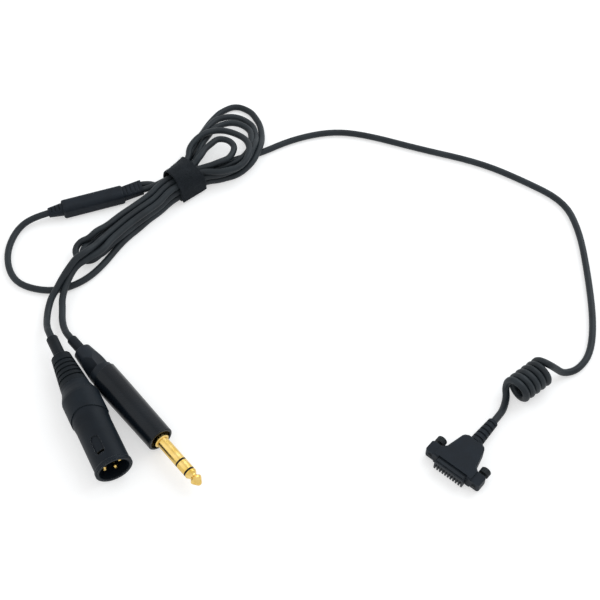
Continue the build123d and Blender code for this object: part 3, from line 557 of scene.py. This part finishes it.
shape = bmesh.new()
woven = shape.loops.layers.uv.new("weave")
rows = []
for spot, distance in profile:
    row = []
    for j in range(ACROSS + 1):
        across = -1 + 2 * j / ACROSS
        lift = WAVE * abs(across) ** 5 * sin(distance * WAVE_RATE + across)
        between = Vector(spot[:2]).lerp(Vector(spot[2:]), (across + 1) / 2)
        where = Vector((STRAP_X, STRAP_Y, 0)) + lane_side * between.x
        where += lane_way * (across * STRAP_HALF) + Vector((0, 0, between.y + lift))
        row.append(shape.verts.new((where - ORIGIN) / 1000))
    rows.append(row)
for i in range(len(rows) - 1):
    for j in range(ACROSS):
        face = shape.faces.new((rows[i][j], rows[i + 1][j], rows[i + 1][j + 1], rows[i][j + 1]))
        for loop, (di, dj) in zip(face.loops, ((0, 0), (1, 0), (1, 1), (0, 1))):
            place = 2 * STRAP_HALF * (j + dj) / ACROSS
            loop[woven].uv = (profile[i + di][1] / 1000, place / 1000)
band = bpy.data.meshes.new("strap")
shape.to_mesh(band)
shape.free()
# the ground that the pile grows on knows how far along the tape each point is
ground = band.copy()
travelled = ground.attributes.new("distance", "FLOAT", "POINT")
for i in range(len(ground.vertices)):
    travelled.data[i].value = profile[i // (ACROSS + 1)][1]
strap = bpy.data.objects.new("strap", band)
scene.collection.objects.link(strap)
thicken = strap.modifiers.new("thickness", "SOLIDIFY")
thicken.thickness = STRAP_T / 1000
thicken.offset = 0
rounded = strap.modifiers.new("edges", "BEVEL")
rounded.width = EDGE_R / 1000
rounded.segments = 2
for polygon in band.polygons:
    polygon.use_smooth = True

# nylon: dull charcoal; the loops make a soft nap that hides the weave
nap = bpy.data.materials.new("Woven nylon hook and loop tape")
nap.use_nodes = True
tree = nap.node_tree
shader = tree.nodes["Principled BSDF"]
spot = node(tree, "ShaderNodeTexCoord").outputs["Object"]
cloth = node(tree, "ShaderNodeUVMap", uv_map="weave").outputs["UV"]
# threads 0.9 mm apart: twice as coarse as real ones, so that they show
threads = {"Vector": cloth, "Scale": 350.0, "Distortion": 1.2, "Detail": 1.0}
warp = node(tree, "ShaderNodeTexWave", threads, bands_direction="X")
weft = node(tree, "ShaderNodeTexWave", threads, bands_direction="Y")
weave = node(tree, "ShaderNodeMath", {
    0: warp.outputs["Fac"], 1: weft.outputs["Fac"],
}, operation="MULTIPLY")
# the fuzz of the pile, 0.7 mm apart, and worn patches 7 mm apart
fuzz = node(tree, "ShaderNodeTexNoise", {
    "Vector": spot, "Scale": 1400.0, "Detail": 6.0, "Roughness": 0.75,
})
worn = node(tree, "ShaderNodeTexNoise", {"Vector": spot, "Scale": 140.0, "Detail": 3.0})
height = node(tree, "ShaderNodeMath", {
    0: weave.outputs[0], 1: fuzz.outputs["Fac"],
}, operation="ADD")
tone = node(tree, "ShaderNodeValToRGB", {"Fac": fuzz.outputs["Fac"]})
tone.color_ramp.elements[0].position = 0.3
tone.color_ramp.elements[0].color = linear("#0e1114")
tone.color_ramp.elements[1].position = 0.75
tone.color_ramp.elements[1].color = linear("#23282d")
paler = node(tree, "ShaderNodeMapRange", {
    "Value": worn.outputs["Fac"], "From Min": 0.5, "From Max": 0.8, "To Max": 0.35,
})
faded = node(tree, "ShaderNodeMix", {
    "Factor": paler.outputs["Result"], "A": tone.outputs["Color"], "B": linear("#2d3238"),
}, data_type="RGBA")
bump = node(tree, "ShaderNodeBump", {
    "Height": height.outputs[0], "Strength": 0.6, "Distance": 0.0003,
})
tree.links.new(faded.outputs["Result"], shader.inputs["Base Color"])
tree.links.new(bump.outputs["Normal"], shader.inputs["Normal"])
shader.inputs["Roughness"].default_value = 0.85
shader.inputs["Specular IOR Level"].default_value = 0.1
shader.inputs["Sheen Weight"].default_value = 0.12
shader.inputs["Sheen Roughness"].default_value = 0.5
shader.inputs["Sheen Tint"].default_value = linear("#8a9199")
band.materials.append(nap)
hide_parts("cable_strap")
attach(strap, "cable_set")


def grow(name, ground, tree, **sizes):
    """A piece that a node tree makes on a mesh, with the tree's named sizes set."""
    made = bpy.data.objects.new(name, ground)
    scene.collection.objects.link(made)
    maker = made.modifiers.new("nodes", "NODES")
    maker.node_group = tree
    for item in tree.interface.items_tree:
        if item.in_out == "INPUT" and item.name in sizes:
            maker[item.identifier] = sizes[item.name]
    bpy.context.view_layer.update()
    depsgraph = bpy.context.evaluated_depsgraph_get()
    plain = bpy.data.meshes.new_from_object(made.evaluated_get(depsgraph))
    made.modifiers.remove(maker)
    made.data = plain
    return made


# the pile: small bent loops, 0.3 mm in radius, that stand out of the tape
COVERED = 12.0          # the start of the tape lies under its end and shows no pile
SWEEP = 200             # each loop's part of a full ring, in degrees
tree = bpy.data.node_groups.new("loop pile", "GeometryNodeTree")
tree.interface.new_socket("Geometry", in_out="INPUT", socket_type="NodeSocketGeometry")
for name, value in (
    ("per_square_metre", 5.0e5),
    ("loop_radius", 0.0003),
    ("thread_radius", 0.00003),
    ("half_tape", STRAP_T / 2000),
):
    socket = tree.interface.new_socket(name, in_out="INPUT", socket_type="NodeSocketFloat")
    socket.default_value = value
tree.interface.new_socket("Geometry", in_out="OUTPUT", socket_type="NodeSocketGeometry")
given = node(tree, "NodeGroupInput").outputs
distance = node(tree, "GeometryNodeInputNamedAttribute", {"Name": "distance"}, data_type="FLOAT")
uncovered = node(tree, "FunctionNodeCompare", {
    "A": distance.outputs["Attribute"], "B": COVERED,
}, data_type="FLOAT", operation="GREATER_THAN")
rooted = node(tree, "GeometryNodeDistributePointsOnFaces", {
    "Mesh": given["Geometry"],
    "Selection": uncovered.outputs["Result"],
    "Density": given["per_square_metre"],
    "Seed": 7,
})
arc = node(tree, "GeometryNodeCurveArc", {
    "Resolution": 6, "Radius": given["loop_radius"], "Sweep Angle": radians(SWEEP),
}, mode="RADIUS")
thread = node(tree, "GeometryNodeCurvePrimitiveCircle", {
    "Resolution": 3, "Radius": given["thread_radius"],
}, mode="RADIUS")
bent = node(tree, "GeometryNodeCurveToMesh", {
    "Curve": arc.outputs["Curve"], "Profile Curve": thread.outputs["Curve"],
})
upright = node(tree, "GeometryNodeTransform", {
    "Geometry": bent.outputs["Mesh"], "Rotation": (radians(90), 0, 0),
})
# each loop faces its own way, leans a little and has its own size
spin = node(tree, "FunctionNodeRandomValue", {
    "Min": (0, 0, -pi), "Max": (0.6, 0.6, pi), "Seed": 3,
}, data_type="FLOAT_VECTOR")
turned = node(tree, "FunctionNodeRotateRotation", {
    "Rotation": rooted.outputs["Rotation"], "Rotate By": spin.outputs["Value"],
}, rotation_space="LOCAL")
size = node(tree, "FunctionNodeRandomValue", {"Min": 0.6, "Max": 1.3, "Seed": 5}, data_type="FLOAT")
outwards = node(tree, "ShaderNodeVectorMath", {
    0: rooted.outputs["Normal"], "Scale": given["half_tape"],
}, operation="SCALE")
raised = node(tree, "GeometryNodeSetPosition", {
    "Geometry": rooted.outputs["Points"], "Offset": outwards.outputs["Vector"],
})
planted = node(tree, "GeometryNodeInstanceOnPoints", {
    "Points": raised.outputs["Geometry"],
    "Instance": upright.outputs["Geometry"],
    "Rotation": turned.outputs["Rotation"],
    "Scale": size.outputs["Value"],
})
whole = node(tree, "GeometryNodeRealizeInstances", {"Geometry": planted.outputs["Instances"]})
coloured = node(tree, "GeometryNodeSetMaterial", {
    "Geometry": whole.outputs["Geometry"], "Material": nap,
})
node(tree, "NodeGroupOutput", {"Geometry": coloured.outputs["Geometry"]})
pile = grow("strap_pile", ground, tree, per_square_metre=6.0e5)
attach(pile, "cable_set")

# ---------------------------------------------------------------------------
# Splitter.  A block of soft PVC moulded round the joint of the three cables,
# with a slotted strain relief at each end.  It lies flat on the table and
# shows the fine grain of an eroded mould and a parting line half way up.
# ---------------------------------------------------------------------------


def finish(material, *names):
    """Gives CAD pieces this material."""
    for name in names:
        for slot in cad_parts[name].material_slots:
            slot.material = material


RUBBED = "#5b6268"
PARTING_HALF = 0.00009          # half the width of a parting line, in metres


def moulded(name, dark, pale, rough, grain, depth, gloss=0.16, rub=0.5, parting=None):
    """Moulded plastic or rubber, whose edges are rubbed paler.

    Its colour clouds between two shades 8 mm apart.  Its grain is this many mm apart
    and deep, and a parting line may run round it at a height.
    """
    made = bpy.data.materials.new(name)
    made.use_nodes = True
    tree = made.node_tree
    shader = tree.nodes["Principled BSDF"]
    spot = node(tree, "ShaderNodeTexCoord").outputs["Object"]
    cloudy = node(tree, "ShaderNodeTexNoise", {
        "Vector": spot, "Scale": 120.0, "Detail": 4.0, "Roughness": 0.6,
    })
    tone = node(tree, "ShaderNodeValToRGB", {"Fac": cloudy.outputs["Fac"]})
    tone.color_ramp.elements[0].position = 0.32
    tone.color_ramp.elements[0].color = linear(dark)
    tone.color_ramp.elements[1].position = 0.72
    tone.color_ramp.elements[1].color = linear(pale)
    # an edge is where the rounded normal leaves the true one; scuffs 2 mm apart break it up
    soft = node(tree, "ShaderNodeBevel", {"Radius": 0.00025}, samples=4)
    true = node(tree, "ShaderNodeNewGeometry")
    facing = node(tree, "ShaderNodeVectorMath", {
        0: soft.outputs["Normal"], 1: true.outputs["Normal"],
    }, operation="DOT_PRODUCT")
    scuffs = node(tree, "ShaderNodeTexNoise", {"Vector": spot, "Scale": 500.0, "Detail": 5.0})
    edge = node(tree, "ShaderNodeMapRange", {
        "Value": facing.outputs["Value"], "From Min": 0.995, "From Max": 0.9, "To Max": rub,
    })
    worn = node(tree, "ShaderNodeMath", {
        0: edge.outputs["Result"], 1: scuffs.outputs["Fac"],
    }, operation="MULTIPLY")
    colour = node(tree, "ShaderNodeMix", {
        "Factor": worn.outputs[0], "A": tone.outputs["Color"], "B": linear(RUBBED),
    }, data_type="RGBA")
    fine = node(tree, "ShaderNodeTexNoise", {
        "Vector": spot, "Scale": 500 / grain, "Detail": 2.0, "Roughness": 0.7,
    })
    height = fine.outputs["Fac"]
    if parting is not None:
        z = node(tree, "ShaderNodeSeparateXYZ", {"Vector": spot}).outputs["Z"]
        line = node(tree, "ShaderNodeMath", {
            0: z, 1: parting / 1000, 2: PARTING_HALF,
        }, operation="COMPARE")
        both = node(tree, "ShaderNodeMath", {0: line.outputs[0], 1: height}, operation="ADD")
        height = both.outputs[0]
    bump = node(tree, "ShaderNodeBump", {
        "Height": height,
        "Normal": soft.outputs["Normal"],
        "Strength": 0.5,
        "Distance": depth / 1000,
    })
    sheen = node(tree, "ShaderNodeMapRange", {
        "Value": cloudy.outputs["Fac"],
        "From Min": 0.3,
        "From Max": 0.7,
        "To Min": rough - 0.05,
        "To Max": rough + 0.06,
    })
    tree.links.new(colour.outputs["Result"], shader.inputs["Base Color"])
    tree.links.new(sheen.outputs["Result"], shader.inputs["Roughness"])
    tree.links.new(bump.outputs["Normal"], shader.inputs["Normal"])
    shader.inputs["Specular IOR Level"].default_value = gloss
    return made


# soft PVC: matt blue-black, with a leathery grain and the mark of the mould's two halves
SPLIT_PARTING = 4.5
soft_pvc = moulded(
    "Moulded soft PVC", "#12181f", "#1c232b", 0.55, grain=0.35, depth=0.06, parting=SPLIT_PARTING)
finish(soft_pvc, "splitter_body", "splitter_relief_main", "splitter_relief_branches")

# ---------------------------------------------------------------------------
# Three-pin plug.  A die-cast zinc shell with a satin black enamel, a bushing
# of glass-filled polyamide screwed on behind it, and a rubber boot with ring
# grooves.  Gold-plated pins stand in a black insert at the bottom of the shell.
# ---------------------------------------------------------------------------
# shrunk tube: near black, with the faint ripple of heated film; the same on both plugs
shrunk_tube = moulded("Heat-shrunk polyolefin", "#0c1217", "#151c22", 0.5, grain=0.5, depth=0.05)
finish(shrunk_tube, "xlr_cable_sleeve", "jack_cable_sleeve")
# inside each plug the cable goes on in its own jacket
finish(jacket, "xlr_cable_core", "jack_cable_core")
# rubber: the deepest black here and the least shiny
boot_rubber = moulded(
    "Moulded thermoplastic rubber", "#091015", "#121a20", 0.6, grain=0.3, depth=0.05, gloss=0.15)
finish(boot_rubber, "xlr_boot")
# polyamide: its glass fibres give a fine dull grain
polyamide = moulded("Glass-filled polyamide", "#0b1219", "#131c24", 0.5, grain=0.4, depth=0.05)
finish(polyamide, "xlr_bushing")
# PBT: plain black and smooth, seen only in the depth of the shell
insert_plastic = moulded("Moulded PBT", "#0d0f11", "#15181a", 0.4, grain=0.3, depth=0.02)
finish(insert_plastic, "xlr_insert")
# acetal: milky white and waxy, hidden in the bushing where it grips the cable
acetal = moulded(
    "Moulded white acetal", "#d3d1c8", "#dedcd4", 0.35, grain=0.4, depth=0.02, rub=0.2)
finish(acetal, "xlr_chuck")

BARE_METAL = "#9a9c9e"


def enamelled(name, dark, pale, rough, coat, peel):
    """Enamel on metal: orange peel this deep under a gloss coat, chipped at the edges."""
    made = bpy.data.materials.new(name)
    made.use_nodes = True
    tree = made.node_tree
    shader = tree.nodes["Principled BSDF"]
    spot = node(tree, "ShaderNodeTexCoord").outputs["Object"]
    # shades 12 mm apart, as the spray laid them
    cloudy = node(tree, "ShaderNodeTexNoise", {
        "Vector": spot, "Scale": 80.0, "Detail": 5.0, "Roughness": 0.6,
    })
    tone = node(tree, "ShaderNodeValToRGB", {"Fac": cloudy.outputs["Fac"]})
    tone.color_ramp.elements[0].position = 0.3
    tone.color_ramp.elements[0].color = linear(dark)
    tone.color_ramp.elements[1].position = 0.75
    tone.color_ramp.elements[1].color = linear(pale)
    # chips 1 mm apart along the edges, down to the metal
    soft = node(tree, "ShaderNodeBevel", {"Radius": 0.0002}, samples=4)
    true = node(tree, "ShaderNodeNewGeometry")
    facing = node(tree, "ShaderNodeVectorMath", {
        0: soft.outputs["Normal"], 1: true.outputs["Normal"],
    }, operation="DOT_PRODUCT")
    chips = node(tree, "ShaderNodeTexNoise", {
        "Vector": spot, "Scale": 900.0, "Detail": 4.0, "Roughness": 0.8,
    })
    edge = node(tree, "ShaderNodeMapRange", {
        "Value": facing.outputs["Value"], "From Min": 0.99, "From Max": 0.85,
    })
    chipped = node(tree, "ShaderNodeMath", {
        0: edge.outputs["Result"], 1: chips.outputs["Fac"],
    }, operation="MULTIPLY")
    bare = node(tree, "ShaderNodeMapRange", {
        "Value": chipped.outputs[0], "From Min": 0.42, "From Max": 0.6, "To Max": 0.8,
    })
    colour = node(tree, "ShaderNodeMix", {
        "Factor": bare.outputs["Result"], "A": tone.outputs["Color"], "B": linear(BARE_METAL),
    }, data_type="RGBA")
    # dimples 1.2 mm apart, and hair scratches that dull the gloss
    dimples = node(tree, "ShaderNodeTexNoise", {"Vector": spot, "Scale": 420.0, "Detail": 1.0})
    stretched = node(tree, "ShaderNodeMapping", {
        "Vector": spot, "Rotation": (0.3, 0.2, 0.7), "Scale": (1, 14, 1),
    })
    hairs = node(tree, "ShaderNodeTexNoise", {
        "Vector": stretched.outputs["Vector"], "Scale": 260.0, "Detail": 6.0, "Roughness": 0.9,
    })
    bump = node(tree, "ShaderNodeBump", {
        "Height": dimples.outputs["Fac"],
        "Normal": soft.outputs["Normal"],
        "Strength": 0.3,
        "Distance": peel / 1000,
    })
    gleam = node(tree, "ShaderNodeMapRange", {
        "Value": hairs.outputs["Fac"],
        "From Min": 0.45,
        "From Max": 0.75,
        "To Min": rough,
        "To Max": rough + 0.14,
    })
    tree.links.new(colour.outputs["Result"], shader.inputs["Base Color"])
    tree.links.new(bare.outputs["Result"], shader.inputs["Metallic"])
    tree.links.new(gleam.outputs["Result"], shader.inputs["Roughness"])
    tree.links.new(bump.outputs["Normal"], shader.inputs["Normal"])
    shader.inputs["Specular IOR Level"].default_value = 0.15
    shader.inputs["Coat Weight"].default_value = coat
    shader.inputs["Coat Roughness"].default_value = 0.12
    return made


# satin enamel: soft broad light, with no clear reflection
satin_enamel = enamelled(
    "Satin black enamel on zinc", "#0a1118", "#121a22", 0.46, coat=0.0, peel=0.03)
finish(satin_enamel, "xlr_shell")


def gold_plated(name, angle):
    """Gold on turned brass: a warm mirror, blurred by lathe rings round an axis at this angle."""
    made = bpy.data.materials.new(name)
    made.use_nodes = True
    tree = made.node_tree
    shader = tree.nodes["Principled BSDF"]
    spot = node(tree, "ShaderNodeTexCoord").outputs["Object"]
    # turned so that X runs along the piece; lathe rings 0.24 mm apart, drawn coarse to show
    along = node(tree, "ShaderNodeMapping", {"Vector": spot, "Rotation": (0, 0, -radians(angle))})
    rings = node(tree, "ShaderNodeTexWave", {
        "Vector": along.outputs["Vector"], "Scale": 1300.0, "Distortion": 1.5, "Detail": 2.0,
    }, bands_direction="X")
    # handling dulls it in patches 4.5 mm apart
    tarnish = node(tree, "ShaderNodeTexNoise", {"Vector": spot, "Scale": 220.0, "Detail": 4.0})
    tone = node(tree, "ShaderNodeValToRGB", {"Fac": tarnish.outputs["Fac"]})
    tone.color_ramp.elements[0].position = 0.3
    tone.color_ramp.elements[0].color = linear("#d6b052")
    tone.color_ramp.elements[1].position = 0.7
    tone.color_ramp.elements[1].color = linear("#ebce86")
    gleam = node(tree, "ShaderNodeMapRange", {
        "Value": tarnish.outputs["Fac"],
        "From Min": 0.3,
        "From Max": 0.8,
        "To Min": 0.16,
        "To Max": 0.3,
    })
    bump = node(tree, "ShaderNodeBump", {
        "Height": rings.outputs["Fac"], "Strength": 0.12, "Distance": 0.00002,
    })
    tree.links.new(tone.outputs["Color"], shader.inputs["Base Color"])
    tree.links.new(gleam.outputs["Result"], shader.inputs["Roughness"])
    tree.links.new(bump.outputs["Normal"], shader.inputs["Normal"])
    shader.inputs["Metallic"].default_value = 1.0
    return made


plated_pins = gold_plated("Gold-plated brass pins", XLR_HEADING)
finish(plated_pins, "xlr_pin_1", "xlr_pin_2", "xlr_pin_3")

# ---------------------------------------------------------------------------
# Jack plug.  A turned brass shell in gloss black enamel is screwed to a smooth
# polypropylene boot.  The finger is three gold-plated brass contacts nested in
# one another, parted by black acetal rings.
# ---------------------------------------------------------------------------
# gloss enamel: black with clear, narrow reflections
gloss_enamel = enamelled(
    "Gloss black enamel on brass", "#090f15", "#10171e", 0.26, coat=0.12, peel=0.012)
finish(gloss_enamel, "jack_shell")
# polypropylene: a shade paler and smoother than the rubber
polypropylene = moulded(
    "Moulded polypropylene", "#151a20", "#1f262e", 0.42, grain=0.4, depth=0.02)
finish(polypropylene, "jack_boot")
plated_contacts = gold_plated("Gold-plated brass contacts", JACK_HEADING)
finish(plated_contacts, "jack_sleeve", "jack_ring", "jack_tip")
# black acetal: two plain dark rings flush with the gold
black_acetal = moulded(
    "Black acetal", "#0a0b0c", "#101214", 0.35, grain=0.3, depth=0.01, rub=0.1)
finish(black_acetal, "jack_ring_insulator", "jack_tip_insulator")

# nickel on pressed steel: a yellowish grey shine with rolling streaks, inside the shell
# where it grips the cable's screen
nickel = bpy.data.materials.new("Nickel-plated steel")
nickel.use_nodes = True
tree = nickel.node_tree
shader = tree.nodes["Principled BSDF"]
spot = node(tree, "ShaderNodeTexCoord").outputs["Object"]
rolled = node(tree, "ShaderNodeMapping", {"Vector": spot, "Scale": (1, 1, 20)})
streaks = node(tree, "ShaderNodeTexNoise", {
    "Vector": rolled.outputs["Vector"], "Scale": 300.0, "Detail": 4.0,
})
tone = node(tree, "ShaderNodeValToRGB", {"Fac": streaks.outputs["Fac"]})
tone.color_ramp.elements[0].color = linear("#b4b1aa")
tone.color_ramp.elements[1].color = linear("#d2d0ca")
gleam = node(tree, "ShaderNodeMapRange", {
    "Value": streaks.outputs["Fac"], "To Min": 0.22, "To Max": 0.4,
})
tree.links.new(tone.outputs["Color"], shader.inputs["Base Color"])
tree.links.new(gleam.outputs["Result"], shader.inputs["Roughness"])
shader.inputs["Metallic"].default_value = 1.0
finish(nickel, "jack_cable_clamp")

# ---------------------------------------------------------------------------
# Headset plug.  Soft PVC moulded over a hard block with a row of sprung
# contacts; a ringed strain relief behind and a captive thumbscrew in each
# ear hold it to the headset.
# ---------------------------------------------------------------------------
finish(soft_pvc, "headset_plug_relief", "headset_plug_body")
# glass-filled PBT: harder and a little shinier than the moulding round it
filled_pbt = moulded(
    "Moulded glass-filled PBT", "#151a20", "#1f262d", 0.45, grain=0.35, depth=0.04)
finish(filled_pbt, "headset_contact_block")
# painted shade: the spring contacts are coloured as if deep in the block's shadow, barely paler
# than the block, with a slight shine
shade_dark_contacts = moulded(
    "Spring contacts painted dark as shade", "#1c232b", "#2a323b", 0.4,
    grain=0.3, depth=0.01, gloss=0.4, rub=0.3)
finish(shade_dark_contacts, "headset_contacts")
# black polyamide: neutral black, with knurls rubbed pale by fingers
screw_polyamide = moulded(
    "Moulded black polyamide", "#121517", "#1b2023", 0.45, grain=0.35, depth=0.04, rub=0.8)
finish(screw_polyamide, "headset_screw_near", "headset_screw_far")

# the bounds are right once Blender has brought every piece up to date
bpy.context.view_layer.update()
